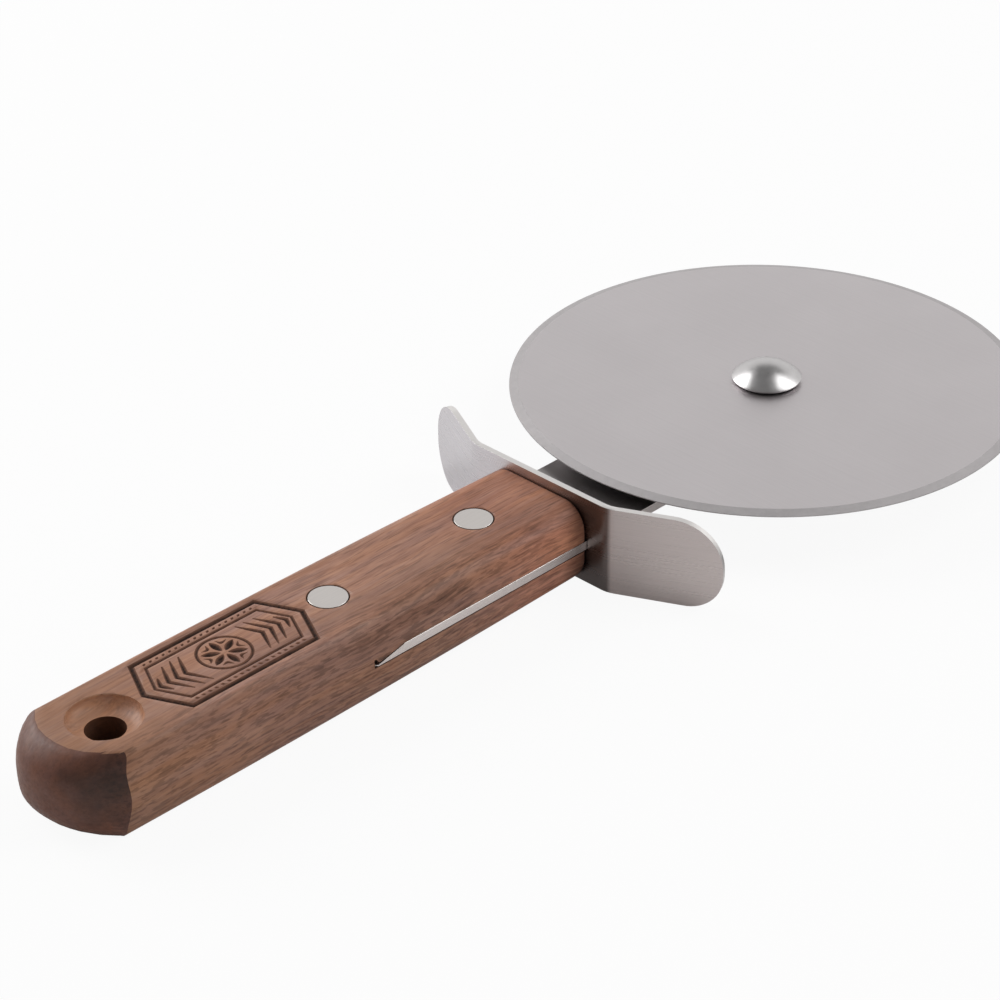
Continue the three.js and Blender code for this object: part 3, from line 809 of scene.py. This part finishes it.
def measure(finish, operation, *inputs):
    """A number taken from places: a length, a distance or a reach along a direction."""
    return add_node(finish, "VectorMath", dict(enumerate(inputs)), operation=operation).outputs["Value"]


def swayed(finish, place):
    """A place in the wood, moved a little so that the grain sways."""
    sway_inputs = {"Vector": place, "Scale": SWAY_SCALE, "Detail": 2.0}
    sway = add_node(finish, "TexNoise", sway_inputs).outputs["Color"]
    swing = calc_vector(finish, "SUBTRACT", sway, SWAY_MIDDLE)
    return calc_vector(finish, "ADD", place, calc_vector(finish, "MULTIPLY", swing, SWAY_DRIFT))


def walnut_colour(finish, bent, run, calm, streaks):
    """The wood's colour: growth rings about a pith beside the block, streaks, fibres and broad tints,
    with a tone along the handle that is partly painted light falling off towards the butt.
    """
    from_pith = calc_vector(finish, "SUBTRACT", bent, PITH_PLACE)
    pith = measure(finish, "LENGTH", calc_vector(finish, "MULTIPLY", from_pith, PITH_SLANT))
    ring_inputs = {"W": pith, "Scale": RING_SCALE, "Detail": 3.0}
    rings = add_node(finish, "TexNoise", ring_inputs, noise_dimensions="1D").outputs["Fac"]
    fibres = grain(finish, bent, FIBRE_LINES, detail=3.0)
    figure = noise(finish, bent, FIGURE_SCALE, detail=3.0)
    total = 0.0
    for part, weight in zip((rings, streaks, fibres, figure), GRAIN_WEIGHTS):
        total = calc(finish, "MULTIPLY_ADD", part, weight, total)
    contrast = calc(finish, "SUBTRACT", total, GRAIN_MIDDLE)
    total = calc(finish, "MULTIPLY_ADD", contrast, calm, GRAIN_MIDDLE)
    plain = colours(finish, total, GRAIN_COLOURS)
    # Tone along the handle, partly painted light falling off towards the butt.
    lengthwise_tone_and_light = colours(finish, mapped(finish, run, LENGTHWISE_RUN), LENGTHWISE_TONE_AND_LIGHT, "EASE")
    warmth = colours(finish, grain(finish, bent, WARMTH_LINES, detail=3.0), WARMTH_TINTS)
    return calc_vector(finish, "MULTIPLY", calc_vector(finish, "MULTIPLY", plain, lengthwise_tone_and_light), warmth)


def walnut_shade(finish, place, bent, upright):
    """How light the wood is, with flecks on the sides and the vein, and a dark band along the block.
    The sides carry painted light and shade along the run: lighter at the rear, darker mid-run,
    paler towards the guard, and darker still beside it, deepest low down."""
    run, across, rise = axes(finish, place)
    near_vein = measure(finish, "DISTANCE", upright, VEIN_PLACE)
    vein = mapped(finish, near_vein, VEIN_REACH, (VEIN_STAIN, 0.0))
    sides = mapped(finish, calc(finish, "ABSOLUTE", across), SIDE_REACH, (0.0, SIDE_STAIN_AND_LIGHT))
    flecks = grain(finish, bent, FLECK_LINES, detail=3.0)
    fleck = mapped(finish, flecks, FLECK_RANGE, (0.0, FLECK_STAIN))
    stain = calc(finish, "MULTIPLY", calc(finish, "MAXIMUM", vein, sides), fleck)
    stain = calc(finish, "MULTIPLY", stain, mapped(finish, run, CLEAR_RUN, CLEAR_LEVELS))
    # Painted light and shade on the sides, standing in for how the lamps fall along the handle.
    painted_side_light = mapped(finish, run, SIDE_LIGHT_RUN)
    painted_side_shade = mapped(finish, run, SIDE_SHADE_RUN, SIDE_SHADE_LEVELS)
    # Darker on the sides next to the guard, more so lower down.
    dark_by_guard = mapped(finish, run, DARK_BY_GUARD_RUN, (0.0, mapped(finish, rise, DARK_BY_GUARD_RISE, DARK_BY_GUARD_LEVELS)))
    change = calc(finish, "ADD", calc(finish, "ADD", painted_side_light, painted_side_shade), dark_by_guard)
    painted_side_tone = calc(finish, "MULTIPLY_ADD", change, sides, 1.0)
    shade = calc(finish, "MULTIPLY", calc(finish, "SUBTRACT", 1.0, stain), painted_side_tone)
    off_band = calc(finish, "SUBTRACT", axes(finish, bent)[1], BAND_PLACE)
    band_tone = mapped(finish, run, BAND_RUN, BAND_TONES)
    band = mapped(finish, calc(finish, "ABSOLUTE", off_band), BAND_REACH, (band_tone, 1.0))
    return calc(finish, "MULTIPLY", shade, band)


def heart_and_painted_light(finish, place, upright):
    """A dark heart in the end grain with a wandering edge; around it, painted light on the butt's lower and
    far parts.
    """
    around = noise(finish, place, HEART_SCALE, detail=2.0)
    near_heart = measure(finish, "DISTANCE", upright, HEART_PLACE)
    wandering = calc(finish, "MULTIPLY_ADD", around, HEART_WANDER, near_heart)
    return mapped(finish, wandering, HEART_REACH, HEART_AND_LIGHT_TONES)


def walnut(name, tone, roughness, sheen=0.3, dark_heart_and_light=False):
    """Oiled walnut with swaying grain and open pores, calmer towards the butt."""
    finish, shader, place = start_finish(name)
    bent = swayed(finish, place)
    upright = calc_vector(finish, "MULTIPLY", bent, ACROSS_GRAIN)
    run = axes(finish, place)[0]
    calm = mapped(finish, run, CALM_RUN, CALM_LEVELS)
    streaks = grain(finish, bent, STREAK_LINES, detail=5.0)
    pore_tone = mapped(finish, calm, CALM_LEVELS, PORE_TONES)
    pore_grain = grain(finish, bent, PORE_LINES, detail=1.0)
    pores = mapped(finish, pore_grain, PORE_RANGE, (1.0, pore_tone))
    shade = calc(finish, "MULTIPLY", pores, walnut_shade(finish, place, bent, upright))
    if dark_heart_and_light:
        shade = calc(finish, "MULTIPLY", shade, heart_and_painted_light(finish, place, upright))
    shaded = scaled(finish, walnut_colour(finish, bent, run, calm, streaks), shade)
    tint = calc_vector(finish, "MULTIPLY", shaded, tone)
    oil_gloss_and_guard_shade = mapped(finish, streaks, NOISE_CORE, [roughness + change for change in OIL_SPREAD])
    relief = calc(finish, "ADD", pores, streaks)
    bump_inputs = {"Height": relief, "Strength": GRAIN_RELIEF, "Distance": GRAIN_DEPTH}
    bump = add_node(finish, "Bump", bump_inputs).outputs[0]
    looks = {"Base Color": tint, "Roughness": oil_gloss_and_guard_shade, "Normal": bump, "Specular IOR Level": sheen}
    set_inputs(finish, shader, looks)
    return finish


def burnt_wood(name):
    """The carver's cuts, browned with a hot tip: dark, dry and a little uneven, with painted shade towards
    each cut's bottom.
    """
    finish, shader, place = start_finish(name)
    soot = grain(finish, place, SOOT_LINES, detail=4.0)
    rise = axes(finish, place)[2]
    # Burnt colour, darker towards the bottom of the cut as painted shade.
    shallow = mapped(finish, rise, (handle_high.z - CUT_SHADE_DEPTH, handle_high.z), CUT_SHADE_LEVELS)
    char_and_shade = calc(finish, "MULTIPLY_ADD", soot, SOOT_SHARE, shallow)
    tint = colours(finish, char_and_shade, CHAR_COLOURS)
    dry = mapped(finish, soot, NOISE_CORE, CHAR_ROUGHNESS)
    bump_inputs = {"Height": soot, "Strength": CHAR_RELIEF, "Distance": CHAR_GRIT}
    bump = add_node(finish, "Bump", bump_inputs).outputs[0]
    looks = {"Base Color": tint, "Roughness": dry, "Normal": bump, "Specular IOR Level": CHAR_SHEEN}
    set_inputs(finish, shader, looks)
    return finish


oiled_walnut = walnut("oiled_walnut", OILED_TONE, OILED_ROUGHNESS)
end_walnut = walnut("end_walnut", END_TONE_AND_SHEEN, END_ROUGHNESS, sheen=END_SHEEN, dark_heart_and_light=True)
lit_dish_walnut = walnut("lit_dish_walnut", DISH_LIGHT_TONE, DISH_ROUGHNESS, sheen=DISH_SHEEN)
sawn_and_shaded_walnut = walnut("sawn_and_shaded_walnut", SAWN_AND_SHADE_TONE, SAWN_ROUGHNESS)
handle = add_piece("handle_dressed", handle_blank(), [oiled_walnut, end_walnut, sawn_and_shaded_walnut])
soften_edges(handle, HANDLE_EDGE_ROUND)

slot_tip = bar_low.x - SLOT_END_GAP
slot_mouth = handle_high.x + SLOT_PAST
slot_side = bar_half + SLOT_PAST
slot_outline = arc(slot_tip + tail_radius, tail_radius, SLOT_SWEEP[0], SLOT_SWEEP[1], SLOT_STEPS)
slot_outline += [(slot_mouth, -slot_side), (slot_mouth, slot_side)]
slot_shape = prism(slot_outline, bar_low.z - SLOT_CLEARANCE, bar_high.z + SLOT_CLEARANCE)
slot_saw = add_piece("slot_saw", slot_shape, [sawn_and_shaded_walnut])
wood_over = [(lead_start, bar_high.z + SLOT_CLEARANCE), (lead_start, past_top)]
wood_over += [(slot_tip - CUT_PAST, past_top), (slot_tip - CUT_PAST, lead_edge + STOP_TIP_RISE)]
wood_over += [(lead_end + x, lead_edge + z) for x, z in (STOP_HEEL, STOP_TOE)]
for name, inner, outer in (("left", bar_half - STOP_WIDTH, bar_half + STOP_PAST),
                           ("right", -bar_half - STOP_PAST, STOP_WIDTH - bar_half)):
    stop = add_piece("stop_" + name, prism(wood_over, inner, outer, across=True), [sawn_and_shaded_walnut])
    cut_away(slot_saw, stop)
settle(slot_saw)
cut_away(handle, slot_saw)

for number, place in enumerate(rivet_places):
    for name, low, high in (("top", handle_high.z - RIVET_SEAT_DEPTH, handle_high.z + CUT_PAST),
                            ("bottom", handle_low.z - CUT_PAST, handle_low.z + RIVET_SEAT_DEPTH)):
        seat = turned(peg(RIVET_SEAT_RADIUS, low, high), place, RIVET_SEAT_STEPS)
        cut_away(handle, add_piece("seat_%s_%d" % (name, number), seat, [sawn_and_shaded_walnut]))

dish = []
for k in range(DISH_STEPS):
    swing = math.radians(90.0 * k / DISH_STEPS)
    radius = HANG_BORE + (DISH_RADIUS - HANG_BORE) * math.sin(swing)
    dish.append((radius, DISH_DEPTH * math.cos(swing)))
dish.append((DISH_RADIUS, -DISH_PAST))
upper_dish = [(radius, handle_high.z - depth) for radius, depth in dish]
lower_dish = [(radius, handle_low.z + depth) for radius, depth in reversed(dish)]
dish_mouth = DISH_RADIUS + DISH_PAST
hang_cut = [(0.0, handle_low.z - CUT_PAST), (dish_mouth, handle_low.z - CUT_PAST)] + lower_dish
hang_cut += upper_dish + [(dish_mouth, handle_high.z + CUT_PAST), (0.0, handle_high.z + CUT_PAST)]
hang_place = (handle_low.x + HANG_TO_END, 0.0)
# The dish faces take the lightened walnut, which is painted light in the bowl.
hang_drill = add_piece("hang_drill", turned(hang_cut, hang_place, HANG_STEPS), [lit_dish_walnut, sawn_and_shaded_walnut])
# The bore's wall takes the darkened sawn walnut, partly painted shade down the hole.
for face in hang_drill.data.polygons:
    out = math.hypot(face.center.x - hang_place[0], face.center.y - hang_place[1])
    face.material_index = 1 if abs(face.normal.z) < BORE_TILT and out < BORE_REACH else 0
cut_away(handle, hang_drill)

cut_away(handle, add_piece("carving_knife", carved_panel(), [burnt_wood("burnt_cuts")]))
settle(handle)
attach(handle, "handle")
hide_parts("handle_block")

# Handle rivets: two pairs of cutler's rivets in stainless steel, a tubed half pressed over a
# pinned half through wood and bar. Their flat heads are ground flush with the wood.
RIVET_STEEL = (0.70, 0.665, 0.64)
RIVET_ROUGHNESS = 0.36
RIVET_LINES = (160.0, 7000.0, 7000.0)
RIVET_EDGE = 0.00004
RIVET_TUBE = 0.0023
RIVET_PIN = 0.0016
RIVET_HEAD = 0.0016
RIVET_STEPS = 64
RIVET_HALVES = (("front_rivet_socket", RIVET_TUBE, True), ("rear_rivet_socket", RIVET_TUBE, True),
                ("front_rivet_pin", RIVET_PIN, False), ("rear_rivet_pin", RIVET_PIN, False))

rivet_steel = rubbed_steel("ground_rivet_steel", RIVET_STEEL, RIVET_ROUGHNESS, RIVET_LINES)
for node, radius, upward in RIVET_HALVES:
    low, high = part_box(node)
    head = (high.x - low.x) / 2.0
    face = high.z if upward else low.z
    tip = low.z if upward else high.z
    into = -1.0 if upward else 1.0
    shape = [(0.0, face), (head - RIVET_EDGE, face), (head, face + into * RIVET_EDGE)]
    shape += [(head, face + into * RIVET_HEAD), (radius, face + into * RIVET_HEAD), (radius, tip)]
    if upward:
        shape += [(RIVET_PIN, tip), (RIVET_PIN, face - 2.0 * RIVET_HEAD), (0.0, face - 2.0 * RIVET_HEAD)]
    else:
        shape += [(0.0, tip)]
    rivet_shell = turned(shape, ((low.x + high.x) / 2.0, 0.0), RIVET_STEPS)
    rivet = add_piece(node + "_dressed", rivet_shell, [rivet_steel])
    settle(rivet)
    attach(rivet, "handle")
    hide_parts(node)

# Cutting wheel: a disc blanked from satin stainless sheet, ground to an edge from both faces.
# It turns freely on the axle between the spacer and the domed head.
WHEEL_STEEL = (0.625, 0.595, 0.605)
WHEEL_ROUGHNESS = 0.36
WHEEL_LINES = (6500.0, 90.0, 6500.0)
EDGE_STEEL = (0.523, 0.503, 0.507)
EDGE_ROUGHNESS = 0.6
EDGE_LINES = (900.0, 900.0, 900.0)
EDGE_SPREAD = 0.02
WHEEL_BEVEL = 0.0018
WHEEL_EDGE = 0.0002
WHEEL_BORE = 0.00308
WHEEL_RINGS = (0.012, 0.030)
WHEEL_STEPS = 288
WHEEL_CREASE = 12.0

wheel_low, wheel_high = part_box("cutting_wheel")
wheel_radius = (wheel_high.y - wheel_low.y) / 2.0
wheel_mid = (wheel_low.z + wheel_high.z) / 2.0
bevel_start = wheel_radius - WHEEL_BEVEL
face_rings = (WHEEL_BORE,) + WHEEL_RINGS + (bevel_start,)
wheel_shape = [(radius, wheel_high.z) for radius in face_rings]
wheel_shape += [(wheel_radius, wheel_mid + WHEEL_EDGE / 2.0), (wheel_radius, wheel_mid - WHEEL_EDGE / 2.0)]
wheel_shape += [(radius, wheel_low.z) for radius in reversed(face_rings)]

wheel_steel = rubbed_steel("satin_wheel_steel", WHEEL_STEEL, WHEEL_ROUGHNESS, WHEEL_LINES)
edge_steel = rubbed_steel("ground_edge_steel", EDGE_STEEL, EDGE_ROUGHNESS, EDGE_LINES,
                          EDGE_SPREAD, relief=0.0)
wheel_shell = turned(wheel_shape, axle_centre, WHEEL_STEPS)
cutting_wheel = add_piece("cutting_wheel_dressed", wheel_shell, [wheel_steel, edge_steel])
for face in cutting_wheel.data.polygons:
    out = math.hypot(face.center.x - axle_centre[0], face.center.y - axle_centre[1])
    face.material_index = 1 if out > bevel_start else 0
settle(cutting_wheel, WHEEL_CREASE)
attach(cutting_wheel, "wheel")
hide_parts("cutting_wheel")

# Axle: one solid rivet of polished stainless steel. Its domed head holds the wheel, its journal
# carries it, and its tenon goes through the bar and is peened over the burr washer below.
AXLE_STEEL = (0.56, 0.55, 0.55)
AXLE_ROUGHNESS = 0.30
AXLE_LINES = (700.0, 700.0, 700.0)
AXLE_SPREAD = 0.03
AXLE_RELIEF = 0.02
DOME_FULLNESS = (2.05, 0.95)
DOME_STEPS = 32
RIM_CURL = ((0.0, 0.00075), (0.0002, 0.0004), (0.0008, 0.0))
AXLE_JOURNAL = 0.003
AXLE_RIM = 0.0008
AXLE_END_PLAY = 0.00008
AXLE_SEAT_GAP = 0.00005
AXLE_STEPS = 96
TENON = 0.0023
TAIL_DOME = 0.0011
TAIL_STEPS = 12
PEENED_TAIL = 0.0034

axle_steel = rubbed_steel("polished_axle_steel", AXLE_STEEL, AXLE_ROUGHNESS, AXLE_LINES,
                          AXLE_SPREAD, AXLE_RELIEF)
head_radius = (axle_high.x - axle_low.x) / 2.0
head_under = wheel_high.z + AXLE_END_PLAY
shoulder = bar_high.z + AXLE_SEAT_GAP
dome_rise = axle_high.z - head_under - AXLE_RIM
axle_shape = []
for k in range(DOME_STEPS + 1):
    share = math.sin(math.radians(90.0 * k / DOME_STEPS))
    height = max(1.0 - share ** DOME_FULLNESS[0], 0.0) ** DOME_FULLNESS[1]
    axle_shape.append((head_radius * share, axle_high.z - dome_rise * (1.0 - height)))
axle_shape += [(head_radius - inset, head_under + rise) for inset, rise in RIM_CURL]
axle_shape += [(AXLE_JOURNAL, head_under), (AXLE_JOURNAL, shoulder), (TENON, shoulder)]
tail_top = axle_low.z + TAIL_DOME
tail_sphere = (PEENED_TAIL ** 2 + TAIL_DOME ** 2) / (2.0 * TAIL_DOME)
axle_shape += [(TENON, tail_top), (PEENED_TAIL, tail_top)]
for k in range(1, TAIL_STEPS + 1):
    radius = PEENED_TAIL * (1.0 - k / TAIL_STEPS)
    axle_shape.append((radius, axle_low.z + tail_sphere - math.sqrt(tail_sphere ** 2 - radius ** 2)))
axle = add_piece("axle_rivet_dressed", turned(axle_shape, axle_centre, AXLE_STEPS), [axle_steel])
settle(axle)
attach(axle, "handle")
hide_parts("axle_rivet")

# Washers: a spacer that keeps the wheel clear of the bar, and a burr that the axle's tail is
# peened over. Both are punched from stainless strip and deburred.
WASHER_STEEL = (0.62, 0.605, 0.595)
WASHER_ROUGHNESS = 0.38
WASHER_LINES = (2200.0, 2200.0, 2200.0)
SPACER_BORE = 0.00308
BURR_BORE = 0.0024
WASHER_EDGE = 0.00015
WASHER_STEPS = 72

washer_steel = rubbed_steel("punched_washer_steel", WASHER_STEEL, WASHER_ROUGHNESS, WASHER_LINES)
for node, bore in (("spacer_washer", SPACER_BORE), ("burr_washer", BURR_BORE)):
    low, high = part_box(node)
    rim = (high.x - low.x) / 2.0
    shape = [(bore, high.z), (rim - WASHER_EDGE, high.z), (rim, high.z - WASHER_EDGE)]
    shape += [(rim, low.z + WASHER_EDGE), (rim - WASHER_EDGE, low.z), (bore, low.z)]
    washer = add_piece(node + "_dressed", turned(shape, axle_centre, WASHER_STEPS), [washer_steel])
    settle(washer)
    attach(washer, "handle")
    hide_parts(node)

# Studio: a white sweep for a floor, two softboxes left and right of the camera, and a pale
# wall behind the tool that fades to a dim room overhead, with a paler strip behind the camera.
FLOOR_WHITE = (0.82, 0.82, 0.82, 1.0)
FLOOR_ROUGHNESS = 0.85
FLOOR_HALF = 9.0
FLOOR_DROP = 0.00005
FLOOR_SHOWN = 0.93
FLOOR_MIRRORED = 0.10
SOFTBOX_SIZE = (0.60, 0.85)
SOFTBOX_DISTANCE = 1.1
LEFT_SOFTBOX = Vector((-0.235, 0.805, 0.549))
LEFT_POWER = 6.8
RIGHT_SOFTBOX = Vector((0.536, -0.425, 0.730))
RIGHT_POWER = 4.2
SOFTBOXES = (("left_softbox", LEFT_SOFTBOX, LEFT_POWER), ("right_softbox", RIGHT_SOFTBOX, RIGHT_POWER))
BEHIND_TOOL = (0.704, 0.710, 0.0)
ROOM_TINT = (1.0, 0.99, 0.985, 1.0)
ROOM_LIGHT = 0.21
WALL_LIGHT = 0.9
WALL_REACH = (-0.2, 0.5)
WALL_TOP = (0.5, 0.8)
FRONT_LIGHT = 0.26
FRONT_REACH = (-0.75, -0.3)
FRONT_TOP = (0.35, 0.6)

sheet = bmesh.new()
floor_z = cad_box[0][2] - FLOOR_DROP
half = FLOOR_HALF
corners = ((-half, -half), (half, -half), (half, half), (-half, half))
sheet.faces.new([sheet.verts.new((x, y, floor_z)) for x, y in corners])
sweep_white, shader = start_finish("sweep_white")[:2]
set_inputs(sweep_white, shader, {"Roughness": FLOOR_ROUGHNESS, "Base Color": FLOOR_WHITE})
ray = add_node(sweep_white, "LightPath", {}).outputs
mirror = calc(sweep_white, "MAXIMUM", ray["Is Glossy Ray"], ray["Is Transmission Ray"])
mirrored = calc(sweep_white, "MULTIPLY", mirror, FLOOR_MIRRORED)
shown = calc(sweep_white, "MULTIPLY_ADD", ray["Is Camera Ray"], FLOOR_SHOWN, mirrored)
glow = add_node(sweep_white, "Emission", {"Strength": 1.0}).outputs[0]
blend = add_node(sweep_white, "MixShader", {0: shown, 1: shader.outputs[0], 2: glow}).outputs[0]
set_inputs(sweep_white, sweep_white.node_tree.nodes["Material Output"], {"Surface": blend})
floor = add_piece("floor", sheet, [sweep_white])

for name, way, power in SOFTBOXES:
    softbox = bpy.data.lights.new(name, "AREA")
    softbox.shape = "RECTANGLE"
    softbox.size = SOFTBOX_SIZE[0]
    softbox.size_y = SOFTBOX_SIZE[1]
    softbox.energy = power
    lamp = bpy.data.objects.new(name, softbox)
    lamp.location = way.normalized() * SOFTBOX_DISTANCE
    lamp.rotation_euler = way.to_track_quat("Z", "Y").to_euler()
    bpy.context.scene.collection.objects.link(lamp)

room = bpy.data.worlds.new("room")
room.use_nodes = True
bpy.context.scene.world = room
way = add_node(room, "TexCoord", {}).outputs["Generated"]
height = axes(room, way)[2]
behind = measure(room, "DOT_PRODUCT", way, BEHIND_TOOL)
wall = mapped(room, behind, WALL_REACH, interpolation_type="SMOOTHSTEP")
open_top = mapped(room, height, WALL_TOP, (1.0, 0.0), interpolation_type="SMOOTHSTEP")
back = mapped(room, calc(room, "MULTIPLY", wall, open_top), (0.0, 1.0), (ROOM_LIGHT, WALL_LIGHT))
facing = mapped(room, behind, FRONT_REACH, (FRONT_LIGHT, 0.0))
front = calc(room, "MULTIPLY", facing, mapped(room, height, FRONT_TOP, (1.0, 0.0)))
level = calc(room, "ADD", back, front)
set_inputs(room, room.node_tree.nodes["Background"], {"Color": ROOM_TINT, "Strength": level})
bpy.context.scene.view_settings.view_transform = "Standard"
